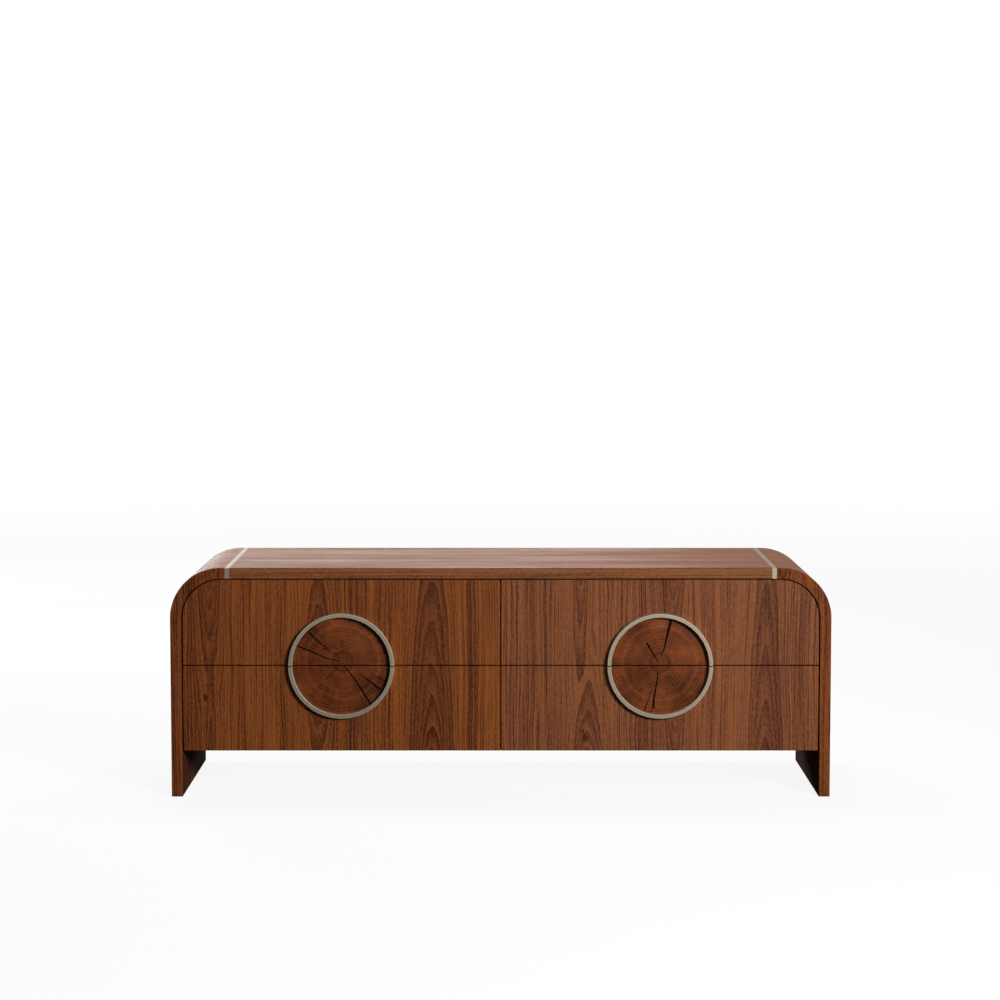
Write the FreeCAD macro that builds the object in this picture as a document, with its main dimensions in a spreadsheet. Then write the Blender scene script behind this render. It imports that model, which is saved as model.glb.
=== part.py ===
# Low cabinet: a bent walnut shell standing on its two panel legs, with four inset drawers in two columns.
# A round metal pull sits on each column and is split, with the end-grain slice inside it, between
# the upper and the lower drawer. The drawers run on three-part telescopic slides.
# Frame: +X right, +Y to the back, +Z up, origin on the floor under the middle of the overall box.
import FreeCAD, Part
import os
import re
import Sketcher

# Driving dimensions in millimetres: alias, value, what it measures.
SIZES = [
    ("overall_width", 1500, "across the outer faces of the two legs"),
    ("overall_height", 525, "floor to the upper face of the top"),
    ("carcass_depth", 455, "front edge to back edge of the shell"),
    ("shell_thickness", 25, "top panel and bent side panels"),
    ("corner_radius", 115, "outer radius of the bent corners"),
    ("corner_stub", 10, "flat run of a side panel between its bend and the metal strip"),
    ("strip_width", 10, "metal strip between a side panel and the top panel"),
    ("edge_round", 1, "radius worked on the exposed edges of boards"),
    ("bottom_thickness", 18, "bottom panel"),
    ("bottom_drop", 3, "how far the bottom panel hangs below the fronts"),
    ("partition_thickness", 18, "upright panel between the two columns"),
    ("back_thickness", 9, "back panel"),
    ("back_inset", 10, "back panel to the back edge of the shell"),
    ("back_rebate", 8, "rebate in the shell that takes the back panel"),
    ("glide_diameter", 16, "floor glide"),
    ("glide_thickness", 4, "floor glide"),
    ("glide_proud", 1, "how far a glide stands out of its leg"),
    ("glide_inset", 45, "glide centre to the front or back edge of its leg"),
    ("dowel_diameter", 8, "beech dowels of the carcass joints"),
    ("dowel_bite", 12, "depth of a dowel in each board"),
    ("dowel_margin", 50, "first dowel of a row to the end of its joint"),
    ("front_bottom", 106, "floor to the lower edge of the lower fronts"),
    ("front_thickness", 20, "drawer fronts"),
    ("front_recess", 5, "front faces to the front edge of the shell"),
    ("front_gap", 2.5, "gap round each front"),
    ("closing_gap", 2, "back of a front to the partition and the bottom panel"),
    ("ring_diameter", 240, "outer diameter of the ring pull"),
    ("ring_wall", 9, "face width of the ring pull"),
    ("ring_proud", 15, "how far the ring stands out of the fronts"),
    ("ring_chamfer", 1, "bevel on the rims of the ring"),
    ("inlay_depth", 6, "seat of the ring and the end-grain slice in a front"),
    ("box_wall", 13, "drawer box sides, front and back"),
    ("box_back_gap", 6, "drawer box to the back panel"),
    ("box_clearance", 13, "lower drawer boxes above the bottom panel"),
    ("box_drop", 70, "upper edge of a front to the rim of its box"),
    ("box_floor", 6, "thickness of the drawer bottom"),
    ("floor_lift", 10, "drawer bottom above the lower edge of its box"),
    ("groove_depth", 6, "grooves that hold the drawer bottom"),
    ("pin_width", 8, "dovetail pin at the end of a drawer side"),
    ("pin_flare", 2, "how much wider a pin is on each flank at its root"),
    ("slide_back_gap", 9, "telescopic slides to the back panel"),
    ("slide_height", 45, "telescopic slides"),
    ("slide_thickness", 13, "room for a slide beside the drawer box"),
    ("slide_gauge", 1.5, "sheet steel of the slide rails"),
    ("slide_play", 0.4, "running gap between the rails of a slide"),
    ("slide_lift", 2, "underside of a box to the lower edge of its slide"),
    ("bend_clearance", 2, "least room between a slide and the bend above it"),
    ("screw_diameter", 4, "countersunk screws"),
    ("screw_head", 7, "countersunk screws"),
    ("screw_bite", 12, "grip of a screw in the last board or the ring"),
    ("screw_tip_gap", 1.5, "slide screw to the middle of the partition or to a drawer's groove"),
    ("recess_span", 3.6, "cross recess in a screw head"),
    ("recess_width", 0.9, "cross recess in a screw head"),
    ("recess_depth", 1.6, "cross recess in a screw head"),
    ("screw_margin", 40, "first screw of a row to the end of its part"),
    ("fit_clearance", 0.2, "glued, seated and grooved fits"),
    ("hole_clearance", 0.1, "radial room round dowels and screws"),
]
ALIASES = {alias for alias, _, _ in SIZES}

# How many of each repeated feature.
DOWELS_PER_JOINT = 4
TAILS_PER_CORNER = 3
SCREWS_PER_RAIL = 3
SCREWS_PER_BACK_EDGE = 6
SCREWS_PER_BACK_UPRIGHT = 2
RING_SCREW_ANGLES = (45, 135)

# Places along the depth: faces that several pieces share.
FRONT_Y = "(-(carcass_depth - ring_proud + front_recess) / 2)"
BACK_Y = f"({FRONT_Y} + carcass_depth)"
FACE_Y = f"({FRONT_Y} + front_recess)"
BOX_Y = f"({FACE_Y} + front_thickness)"
INNER_Y = f"({BOX_Y} + closing_gap)"
BACK_PANEL_Y = f"({BACK_Y} - back_inset - back_thickness)"
BOX_LENGTH = f"({BACK_PANEL_Y} - {BOX_Y} - box_back_gap)"
SLIDE_LENGTH = f"({BACK_PANEL_Y} - {INNER_Y} - slide_back_gap)"

# Places across the width, measured from the middle of the cabinet.
SIDE_X = "(overall_width / 2 - shell_thickness)"
STRIP_OUTER_X = "(overall_width / 2 - corner_radius - corner_stub)"
STRIP_INNER_X = f"({STRIP_OUTER_X} - strip_width)"
PARTITION_X = "(partition_thickness / 2)"
FRONT_OUTER_X = f"({SIDE_X} - front_gap)"
FRONT_INNER_X = "(front_gap / 2)"
RING_X = f"(({FRONT_OUTER_X} + {FRONT_INNER_X}) / 2)"
BOX_OUTER_X = f"({SIDE_X} - slide_thickness)"
BOX_INNER_X = f"({PARTITION_X} + slide_thickness)"
BOX_MIDDLE_X = f"(({BOX_OUTER_X} + {BOX_INNER_X}) / 2)"

# Heights above the floor.
CEILING_Z = "(overall_height - shell_thickness)"
BOTTOM_Z = "(front_bottom - bottom_drop)"
FLOOR_Z = f"({BOTTOM_Z} + bottom_thickness)"
FRONT_TOP_Z = f"({CEILING_Z} - front_gap)"
FRONT_HEIGHT = f"(({FRONT_TOP_Z} - front_bottom - front_gap) / 2)"
SEAM_Z = f"(front_bottom + {FRONT_HEIGHT} + front_gap / 2)"
BOX_RISE = "(bottom_thickness - bottom_drop + box_clearance)"
BOX_HEIGHT = f"({FRONT_HEIGHT} - {BOX_RISE} - box_drop)"
INNER_RADIUS = "(corner_radius - shell_thickness)"
BEND_Z = "(overall_height - corner_radius)"

# The lower edge of the fronts in each row of drawers.
ROW_Z = {"lower": "front_bottom", "upper": f"({SEAM_Z} + front_gap / 2)"}

doc = FreeCAD.newDocument("low_cabinet")
sheet = doc.addObject("Spreadsheet::Sheet", "dims")
for row, (alias, size, meaning) in enumerate(SIZES, start=1):
    sheet.set(f"A{row}", meaning)
    sheet.set(f"B{row}", str(size))
    sheet.setAlias(f"B{row}", alias)
doc.recompute()

parts = []


def formula(text):
    """Expression text in which every alias is looked up in the sheet."""
    return re.sub(r"[a-z_]+", lambda word: f"dims.{word[0]}" if word[0] in ALIASES else word[0], text)


def value(text):
    """The present value of a formula, in millimetres."""
    return float(sheet.evalExpression(formula(text)))


def bind(target, **formulas):
    """Ties properties to the sheet; a double underscore in a name stands for a dot."""
    for name, text in formulas.items():
        target.setExpression(name.replace("__", "."), formula(text))
    return target


def place(target, x="0", y="0", z="0"):
    """Ties the place of an object to the sheet."""
    return bind(target, Placement__Base__x=x, Placement__Base__y=y, Placement__Base__z=z)


def minus(text):
    """The mirror image of a place across the width."""
    return f"(-{text})"


def spaced(first, last, count):
    """Formulas for evenly spaced places from first to last."""
    return [f"({first} + ({last} - {first}) * {i} / {count - 1})" for i in range(count)]


def keep(label, shape_object):
    """Makes an object a sub-part under its label."""
    shape_object.Label = label
    parts.append(shape_object)
    return shape_object


# Ways of making a piece.


def board(name, x, y, z):
    """A square-edged board between two places along each axis."""
    block = doc.addObject("Part::Box", name)
    bind(block, Length=f"{x[1]} - {x[0]}", Width=f"{y[1]} - {y[0]}", Height=f"{z[1]} - {z[0]}")
    return place(block, x[0], y[0], z[0])


def new_body(name, x="0", y="0", z="0"):
    """An empty body at its place."""
    return place(doc.addObject("PartDesign::Body", name), x, y, z)


def new_sketch(body, name, plane):
    """A sketch on one of the body's own origin planes."""
    drawing = body.newObject("Sketcher::SketchObject", name)
    support = next(face for face in body.Origin.OriginFeatures if face.Role == plane)
    drawing.AttachmentSupport = (support, [""])
    drawing.MapMode = "FlatFace"
    return drawing


def dimension(drawing, kind, ends, text):
    """A named sketch dimension that follows a formula."""
    index = drawing.addConstraint(Sketcher.Constraint(kind, *ends, value(text)))
    name = f"{kind}_{index}"
    drawing.renameConstraint(index, name)
    drawing.setExpression(f"Constraints.{name}", formula(text))


def draw_polygon(drawing, corners):
    """Adds a closed polygon whose corners are measured from the sketch's origin."""
    points = [FreeCAD.Vector(value(u), value(v), 0) for u, v in corners]
    sides = [drawing.addGeometry(Part.LineSegment(*ends)) for ends in zip(points, points[1:] + points[:1])]
    for side, following in zip(sides, sides[1:] + sides[:1]):
        drawing.addConstraint(Sketcher.Constraint("Coincident", side, 2, following, 1))
    for side, (u, v) in zip(sides, corners):
        dimension(drawing, "DistanceX", (-1, 1, side, 1), u)
        dimension(drawing, "DistanceY", (-1, 1, side, 1), v)


def draw_rectangle(drawing, u, v):
    """Adds a rectangle between two places along each axis of the sketch."""
    draw_polygon(drawing, [(u[0], v[0]), (u[1], v[0]), (u[1], v[1]), (u[0], v[1])])


def draw_circle(drawing, u, v, radius):
    """Adds a circle about a point measured from the sketch's origin."""
    centre = FreeCAD.Vector(value(u), value(v), 0)
    circle = drawing.addGeometry(Part.Circle(centre, FreeCAD.Vector(0, 0, 1), value(radius)))
    dimension(drawing, "DistanceX", (-1, 1, circle, 3), u)
    dimension(drawing, "DistanceY", (-1, 1, circle, 3), v)
    dimension(drawing, "Radius", (circle,), radius)


def pad(body, drawing, length, backwards=False):
    """Pads a sketch; a sketch in the XZ plane pads towards the back when it goes backwards."""
    feature = body.newObject("PartDesign::Pad", f"{drawing.Name}_pad")
    feature.Profile = drawing
    feature.Reversed = backwards
    bind(feature, Length=length)
    doc.recompute()
    return feature


def pocket(body, drawing, depth=None, upwards=False):
    """Cuts a sketch into its body: an XZ sketch to the back, an XY sketch up or down, or right through."""
    before = body.Shape.Volume
    feature = body.newObject("PartDesign::Pocket", f"{drawing.Name}_pocket")
    feature.Profile = drawing
    feature.Reversed = upwards
    if depth is None:
        feature.Type = "ThroughAll"
        feature.Midplane = True
    else:
        bind(feature, Length=depth)
    doc.recompute()
    if feature.Shape.Volume >= before:
        raise RuntimeError(f"{feature.Name} cuts nothing")
    return feature


def dress_edges(body, kind, name, wanted, **size):
    """Fillets or chamfers the edges whose box, measured from the body's origin, passes the test."""
    base = body.Tip
    edges = [f"Edge{i}" for i, edge in enumerate(base.Shape.Edges, start=1) if wanted(edge.BoundBox)]
    if not edges:
        raise RuntimeError(f"{name} has no edges")
    feature = body.newObject(f"PartDesign::{kind}", name)
    feature.Base = (base, edges)
    bind(feature, **size)
    doc.recompute()
    return feature


def level(low, high, place_text):
    """True where a box is flat at one place along an axis."""
    at = value(place_text)
    return abs(low - at) < 1e-4 and abs(high - at) < 1e-4


def cut(label, base, *tools):
    """The base less each tool in turn, under its label."""
    for i, tool in enumerate(tools, start=1):
        result = doc.addObject("Part::Cut", f"{label}_cut_{i}")
        result.Base = base
        result.Tool = tool
        base = result
    return base


def group(name, members):
    """Several separate solids as one object."""
    bundle = doc.addObject("Part::Compound", name)
    bundle.Links = members
    return bundle


def mirrored(name, source, plane_x="0"):
    """A mirror image of an object, left for right, about a plane across the width."""
    image = doc.addObject("Part::Mirroring", name)
    image.Source = source
    image.Normal = FreeCAD.Vector(1, 0, 0)
    return bind(image, Base__x=plane_x)


# Dowels and screws: each is a solid in a hole that is a little larger.

ALONG_X = FreeCAD.Rotation(FreeCAD.Vector(0, 1, 0), 90)
ALONG_MINUS_X = FreeCAD.Rotation(FreeCAD.Vector(0, 1, 0), -90)
ALONG_Y = FreeCAD.Rotation(FreeCAD.Vector(1, 0, 0), -90)
ALONG_MINUS_Y = FreeCAD.Rotation(FreeCAD.Vector(1, 0, 0), 90)
ALONG_Z = FreeCAD.Rotation()


def turned_body(name, corners):
    """A solid turned about its own Z axis from a half section of radius and height."""
    body = new_body(name)
    drawing = new_sketch(body, f"{name}_section", "XZ_Plane")
    draw_polygon(drawing, corners)
    feature = body.newObject("PartDesign::Revolution", f"{name}_turning")
    feature.Profile = drawing
    feature.ReferenceAxis = (drawing, ["V_Axis"])
    feature.Angle = 360
    doc.recompute()
    return body


def dowel_pair(name, length):
    """A dowel with bevelled ends and the hole for it, both starting at their origin and running up Z."""
    bevel = "dowel_diameter / 8"
    radius = "dowel_diameter / 2"
    dowel = turned_body(f"{name}_dowel", [
        ("0", "0"), (f"{radius} - {bevel}", "0"), (radius, bevel),
        (radius, f"{length} - {bevel}"), (f"{radius} - {bevel}", length), ("0", length)])
    bore = f"{radius} + hole_clearance"
    hole = turned_body(f"{name}_dowel_hole", [("0", "0"), (bore, "0"), (bore, length), ("0", length)])
    return dowel, hole


def screw_pair(name, length):
    """A countersunk screw and the hole for it, with the flat of the head at the origin, running up Z."""
    made = []
    for suffix, room in (("screw", "0"), ("screw_hole", "hole_clearance")):
        head = f"screw_head / 2 + {room}"
        shank = f"screw_diameter / 2 + {room}"
        cone = "(screw_head - screw_diameter) / 2"
        tip = f"{length} + {room}"
        made.append(turned_body(f"{name}_{suffix}", [
            ("0", "0"), (head, "0"), (shank, cone), (shank, tip), ("0", tip)]))
    recess = new_sketch(made[0], f"{name}_recess", "XY_Plane")
    far, near = "(recess_span / 2)", "(recess_width / 2)"
    quarter = [(far, near), (near, near), (near, far)]
    corners = []
    for _ in range(4):
        corners += quarter
        quarter = [(minus(v), u) for u, v in quarter]
    draw_polygon(recess, corners)
    pocket(made[0], recess, "recess_depth", upwards=True)
    return made


def copies(name, pair, spots, turn):
    """Copies of a fastener and of its hole at each spot, as two lists."""
    made = ([], [])
    for i, spot in enumerate(spots, start=1):
        for source, copied, suffix in zip(pair, made, ("", "_hole")):
            link = doc.addObject("App::Link", f"{name}{suffix}_{i}")
            link.LinkedObject = source
            link.Placement = FreeCAD.Placement(FreeCAD.Vector(), turn)
            copied.append(place(link, *spot))
    return made


# The shell: two bent side panels, the top panel and the metal strips between them.


def round_long_edges(body, name, heights):
    """Rounds the edges that run across the front and the back of a shell piece at the given heights."""

    def wanted(box):
        at_end = any(level(box.YMin, box.YMax, y) for y in ("0", "carcass_depth"))
        return at_end and any(level(box.ZMin, box.ZMax, z) for z in heights)

    return dress_edges(body, "Fillet", name, wanted, Radius="edge_round")


def flat_shell_piece(name, x):
    """A level piece of the shell, drawn as its front outline and padded to the back."""
    body = new_body(f"{name}_blank", y=FRONT_Y)
    outline = new_sketch(body, f"{name}_outline", "XZ_Plane")
    draw_rectangle(outline, x, (CEILING_Z, "overall_height"))
    pad(body, outline, "carcass_depth", backwards=True)
    round_long_edges(body, f"{name}_arris", (CEILING_Z, "overall_height"))
    return body


def bent_side_panel(name):
    """The left side panel: a leg from the floor, a bend, and a stub that meets the metal strip."""
    body = new_body(f"{name}_blank", y=FRONT_Y)
    outline = new_sketch(body, f"{name}_outline", "XZ_Plane")
    leg_x, strip_x, inner_x = "(-overall_width / 2)", minus(STRIP_OUTER_X), minus(SIDE_X)
    draw_polygon(outline, [
        (strip_x, "overall_height"), (leg_x, "overall_height"), (leg_x, "glide_proud"),
        (inner_x, "glide_proud"), (inner_x, CEILING_Z), (strip_x, CEILING_Z)])
    pad(body, outline, "carcass_depth", backwards=True)
    for bend, x, z, radius in (("outer_bend", leg_x, "overall_height", "corner_radius"),
                               ("inner_bend", inner_x, CEILING_Z, INNER_RADIUS)):
        dress_edges(body, "Fillet", f"{name}_{bend}",
                    lambda box: level(box.XMin, box.XMax, x) and level(box.ZMin, box.ZMax, z), Radius=radius)

    def along_the_bend(box):
        at_front, at_back = (level(box.YMin, box.YMax, y) for y in ("0", "carcass_depth"))
        outside = level(box.XMin, box.XMin, leg_x) or level(box.ZMax, box.ZMax, "overall_height")
        across = level(box.XMin, box.XMax, strip_x) or level(box.ZMin, box.ZMax, "glide_proud")
        return (at_front or at_back and outside) and not across

    dress_edges(body, "Fillet", f"{name}_arris", along_the_bend, Radius="edge_round")
    return body


def back_outline(name, y, into_shell, thickness):
    """A panel that fills the shell's opening at the back and reaches into the shell by a given depth."""
    body = new_body(name, y=y)
    outline = new_sketch(body, f"{name}_outline", "XZ_Plane")
    half, top = f"({SIDE_X} + {into_shell})", f"({CEILING_Z} + {into_shell})"
    draw_rectangle(outline, (minus(half), half), (BOTTOM_Z, top))
    pad(body, outline, thickness, backwards=True)
    dress_edges(body, "Fillet", f"{name}_corners",
                lambda box: level(box.ZMin, box.ZMax, top) and box.XLength < 1e-4,
                Radius=f"{INNER_RADIUS} + {into_shell}")
    return body


def glide_pieces():
    """Floor glides, seated in shallow pockets in the ends of the legs, and the pockets."""
    glides, pockets = [], []
    leg_middle = "((overall_width - shell_thickness) / 2)"
    for side, x in (("left", minus(leg_middle)), ("right", leg_middle)):
        for end, y in (("front", f"({FRONT_Y} + glide_inset)"), ("back", f"({BACK_Y} - glide_inset)")):
            glide = doc.addObject("Part::Cylinder", f"{side}_{end}_glide")
            bind(glide, Radius="glide_diameter / 2", Height="glide_thickness")
            glides.append(place(glide, x, y))
            seat = doc.addObject("Part::Cylinder", f"{side}_{end}_glide_pocket")
            bind(seat, Radius="glide_diameter / 2 + fit_clearance", Height="glide_thickness")
            pockets.append(place(seat, x, y))
    return glides, pockets


def carcass_dowels():
    """Dowels of the shell joints, the bottom panel and the partition, and their holes."""
    depth_spots = spaced(f"({INNER_Y} + dowel_margin)", f"({BACK_PANEL_Y} - dowel_margin)", DOWELS_PER_JOINT)
    top_pair = dowel_pair("shell_joint", "(strip_width + 2 * dowel_bite)")
    short_pair = dowel_pair("panel_joint", "(2 * dowel_bite)")
    top_z, bottom_z = "(overall_height - shell_thickness / 2)", f"({BOTTOM_Z} + bottom_thickness / 2)"
    left_top_x, right_top_x = f"(-{STRIP_OUTER_X} - dowel_bite)", f"({STRIP_INNER_X} - dowel_bite)"
    left_low_x, right_low_x = f"(-{SIDE_X} - dowel_bite)", f"({SIDE_X} - dowel_bite)"
    rows = [
        ("left_top", top_pair, left_top_x, top_z, ALONG_X),
        ("right_top", top_pair, right_top_x, top_z, ALONG_X),
        ("left_bottom", short_pair, left_low_x, bottom_z, ALONG_X),
        ("right_bottom", short_pair, right_low_x, bottom_z, ALONG_X),
        ("partition_foot", short_pair, "0", f"({FLOOR_Z} - dowel_bite)", ALONG_Z),
        ("partition_head", short_pair, "0", f"({CEILING_Z} - dowel_bite)", ALONG_Z),
    ]
    dowels, holes = [], []
    for name, pair, x, z, turn in rows:
        new_dowels, new_holes = copies(f"{name}_dowel", pair, [(x, y, z) for y in depth_spots], turn)
        dowels += new_dowels
        holes += new_holes
    return dowels, holes


def back_screws():
    """Screws that hold the back panel to the bottom panel and the partition, and their holes."""
    pair = screw_pair("back_panel", "(back_thickness + screw_bite)")
    y = f"({BACK_Y} - back_inset)"
    low_z = f"({BOTTOM_Z} + bottom_thickness / 2)"
    edge = spaced(f"(-{SIDE_X} + screw_margin)", f"({SIDE_X} - screw_margin)", SCREWS_PER_BACK_EDGE)
    upright = spaced(f"({FLOOR_Z} + screw_margin)", f"({CEILING_Z} - screw_margin)", SCREWS_PER_BACK_UPRIGHT)
    spots = [(x, y, low_z) for x in edge] + [("0", y, z) for z in upright]
    return copies("back_panel_screw", pair, spots, ALONG_MINUS_Y)


def rail_screw_spots(x, z):
    """Places of the screws along a slide rail."""
    rail_end = f"({INNER_Y} + {SLIDE_LENGTH} - screw_margin)"
    return [(x, y, z) for y in spaced(f"({INNER_Y} + screw_margin)", rail_end, SCREWS_PER_RAIL)]


def slide_axis_z(row):
    """Height of the middle of a row's slides, which stay on the straight part of the side panels."""
    beside_box = f"{ROW_Z[row]} + {BOX_RISE} + slide_lift"
    under_bend = f"{BEND_Z} - bend_clearance - slide_height"
    return f"(min({beside_box}; {under_bend}) + slide_height / 2)"


def cabinet_rail_screws(pair):
    """Screws of the cabinet rails in the left side panel and the partition's left face, and their holes."""
    screws, holes = [], []
    for row in ROW_Z:
        z = slide_axis_z(row)
        for name, x, turn in (("outer", f"(-{SIDE_X} + slide_gauge)", ALONG_MINUS_X),
                              ("inner", f"(-{PARTITION_X} - slide_gauge)", ALONG_X)):
            new_screws, new_holes = copies(f"{row}_{name}_rail_screw", pair, rail_screw_spots(x, z), turn)
            screws += new_screws
            holes += new_holes
    return screws, holes


def build_carcass(rail_screw_pair):
    """Every fixed piece but the cabinet rails. Gives the holes of the cabinet rails' screws."""
    dowels, dowel_holes = carcass_dowels()
    glides, glide_pockets = glide_pieces()
    screws_at_back, back_holes = back_screws()
    rail_screws, rail_holes = cabinet_rail_screws(rail_screw_pair)
    dowel_drill = group("dowel_drill", dowel_holes)
    back_drill = group("back_panel_drill", back_holes)
    rail_drill = group("left_rail_drill", rail_holes)
    glide_drill = group("glide_drill", glide_pockets)
    rebate = back_outline("back_rebate", BACK_PANEL_Y, "back_rebate", "(2 * back_inset + back_thickness)")

    top = flat_shell_piece("top_panel", (minus(STRIP_INNER_X), STRIP_INNER_X))
    keep("top_panel", cut("top_panel", top, rebate, dowel_drill))
    strip = flat_shell_piece("left_inlay_strip", (minus(STRIP_OUTER_X), minus(STRIP_INNER_X)))
    left_strip = keep("left_inlay_strip", cut("left_inlay_strip", strip, rebate, dowel_drill))
    keep("right_inlay_strip", mirrored("right_inlay_strip", left_strip))
    side = bent_side_panel("left_side_panel")
    left_side = cut("left_side_panel", side, rebate, dowel_drill, rail_drill, glide_drill)
    keep("left_side_panel", left_side)
    keep("right_side_panel", mirrored("right_side_panel", left_side))

    inner_depth = (INNER_Y, BACK_PANEL_Y)
    bottom = board("bottom_panel_blank", (minus(SIDE_X), SIDE_X), inner_depth, (BOTTOM_Z, FLOOR_Z))
    keep("bottom_panel", cut("bottom_panel", bottom, dowel_drill, back_drill))
    upright = board("center_partition_blank", (minus(PARTITION_X), PARTITION_X), inner_depth,
                    (FLOOR_Z, CEILING_Z))
    partition_drills = (dowel_drill, back_drill, rail_drill, mirrored("right_rail_drill", rail_drill))
    keep("center_partition", cut("center_partition", upright, *partition_drills))
    back = back_outline("back_panel_blank", BACK_PANEL_Y, "back_rebate - fit_clearance", "back_thickness")
    keep("back_panel", cut("back_panel", back, back_drill))

    left_screws = group("left_rail_screws", rail_screws)
    right_screws = mirrored("right_rail_screws", left_screws)
    keep("carcass_dowels", group("carcass_dowels", dowels))
    keep("floor_glides", group("floor_glides", glides))
    keep("carcass_screws", group("carcass_screws", [left_screws, right_screws, *screws_at_back]))
    return rail_drill


# The drawers of the left column. Those of the right column are their mirror images.


def trim_half(body, name, row):
    """Cuts away the half of a round piece that belongs to the other drawer of the column."""
    reach = ("(-ring_diameter)", "ring_diameter")
    edge = "(front_gap / 2)"
    drawing = new_sketch(body, f"{name}_other_half", "XZ_Plane")
    span = ("(-ring_diameter)", edge) if row == "upper" else (minus(edge), "ring_diameter")
    draw_rectangle(drawing, reach, span)
    pocket(body, drawing)


def ring_half(name, row):
    """Half of the ring pull, bevelled on its rims."""
    body = new_body(f"{name}_blank", minus(RING_X), f"({FACE_Y} - ring_proud)", SEAM_Z)
    outline = new_sketch(body, f"{name}_outline", "XZ_Plane")
    draw_circle(outline, "0", "0", "ring_diameter / 2")
    draw_circle(outline, "0", "0", "ring_diameter / 2 - ring_wall")
    pad(body, outline, "(ring_proud + inlay_depth)", backwards=True)
    dress_edges(body, "Chamfer", f"{name}_bevel", lambda box: level(box.YMin, box.YMax, "0"),
                Size="ring_chamfer")
    trim_half(body, name, row)
    return body


def end_grain_half(name, row):
    """Half of the end-grain slice that fills the ring, level with the drawer front."""
    body = new_body(name, minus(RING_X), FACE_Y, SEAM_Z)
    outline = new_sketch(body, f"{name}_outline", "XZ_Plane")
    draw_circle(outline, "0", "0", "ring_diameter / 2 - ring_wall - fit_clearance")
    pad(body, outline, "inlay_depth", backwards=True)
    trim_half(body, name, row)
    return body


def drawer_front(name, row):
    """The left front of a row; the upper one follows the bend of the shell. It has a seat for the ring."""
    low_z = ROW_Z[row]
    high_z = f"({low_z} + {FRONT_HEIGHT})"
    outer_x, inner_x = minus(FRONT_OUTER_X), minus(FRONT_INNER_X)
    body = new_body(f"{name}_blank", y=FACE_Y)
    outline = new_sketch(body, f"{name}_outline", "XZ_Plane")
    draw_rectangle(outline, (outer_x, inner_x), (low_z, high_z))
    pad(body, outline, "front_thickness", backwards=True)
    if row == "upper":
        dress_edges(body, "Fillet", f"{name}_corner",
                    lambda box: level(box.XMin, box.XMax, outer_x) and level(box.ZMin, box.ZMax, high_z),
                    Radius=f"{INNER_RADIUS} - front_gap")
    dress_edges(body, "Fillet", f"{name}_arris", lambda box: level(box.YMin, box.YMax, "0"),
                Radius="edge_round")
    seat = new_sketch(body, f"{name}_seat", "XZ_Plane")
    draw_circle(seat, minus(RING_X), SEAM_Z, "ring_diameter / 2 + fit_clearance")
    pocket(body, seat, "inlay_depth")
    return body


def dovetailed_side(name, x, z):
    """A drawer side with a row of dovetails at each end, as long as the box."""
    body = new_body(name, x, BOX_Y, z)
    outline = new_sketch(body, f"{name}_outline", "YZ_Plane")
    draw_rectangle(outline, ("0", BOX_LENGTH), ("0", BOX_HEIGHT))
    pad(body, outline, "box_wall")
    sockets = new_sketch(body, f"{name}_sockets", "YZ_Plane")
    narrow, wide = "(pin_width / 2)", "(pin_width / 2 + pin_flare)"
    for end, root in (("0", "box_wall"), (BOX_LENGTH, f"({BOX_LENGTH} - box_wall)")):
        draw_polygon(sockets, [(end, minus(narrow)), (end, narrow), (root, wide), (root, minus(wide))])
    first = pocket(body, sockets)
    row = body.newObject("PartDesign::LinearPattern", f"{name}_socket_row")
    row.Originals = [first]
    row.Direction = (sockets, ["V_Axis"])
    row.Occurrences = TAILS_PER_CORNER + 1
    bind(row, Length=BOX_HEIGHT)
    body.Tip = row
    doc.recompute()
    return body


def channel_rail(name, back_u, edge_u, half_height, row):
    """A C-section rail of the left slide, from the outer face of its web to the rims of its flanges."""
    body = new_body(name, minus(SIDE_X), INNER_Y, slide_axis_z(row))
    section = new_sketch(body, f"{name}_section", "XZ_Plane")
    inwards = "slide_gauge" if value(edge_u) > value(back_u) else "(-slide_gauge)"
    web_u, lip = f"({back_u} + {inwards})", f"({half_height} - slide_gauge)"
    draw_polygon(section, [
        (back_u, minus(half_height)), (edge_u, minus(half_height)), (edge_u, minus(lip)), (web_u, minus(lip)),
        (web_u, lip), (edge_u, lip), (edge_u, half_height), (back_u, half_height)])
    pad(body, section, SLIDE_LENGTH, backwards=True)
    return body


def rail_pair(label, rail, *drills):
    """A rail with its screw holes, and its twin on the other side of the drawer box."""
    drilled = cut(f"{label}_outer", rail, *drills)
    twin = mirrored(f"{label}_inner", drilled, minus(BOX_MIDDLE_X))
    return keep(label, group(label, [drilled, twin]))


def drawer_slides(column_row, row, rail_drill, drawer_drill):
    """The nested rails of the two slides of a drawer."""
    rim_u = "(slide_thickness - slide_gauge - slide_play)"
    middle_u = "(slide_gauge + slide_play)"
    outer_half = "(slide_height / 2)"
    middle_half = f"({outer_half} - slide_gauge - slide_play)"
    inner_half = f"({middle_half} - slide_gauge - slide_play)"
    fixed = channel_rail(f"{column_row}_cabinet_rail", "0", rim_u, outer_half, row)
    middle = channel_rail(f"{column_row}_middle_rail", middle_u, rim_u, middle_half, row)
    inner_rim_u = f"(2 * {middle_u})"
    moving = channel_rail(f"{column_row}_drawer_rail", "slide_thickness", inner_rim_u, inner_half, row)
    rail_pair(f"{column_row}_cabinet_rails", fixed, rail_drill)
    rail_pair(f"{column_row}_middle_rails", middle)
    rail_pair(f"{column_row}_drawer_rails", moving, drawer_drill)


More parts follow.
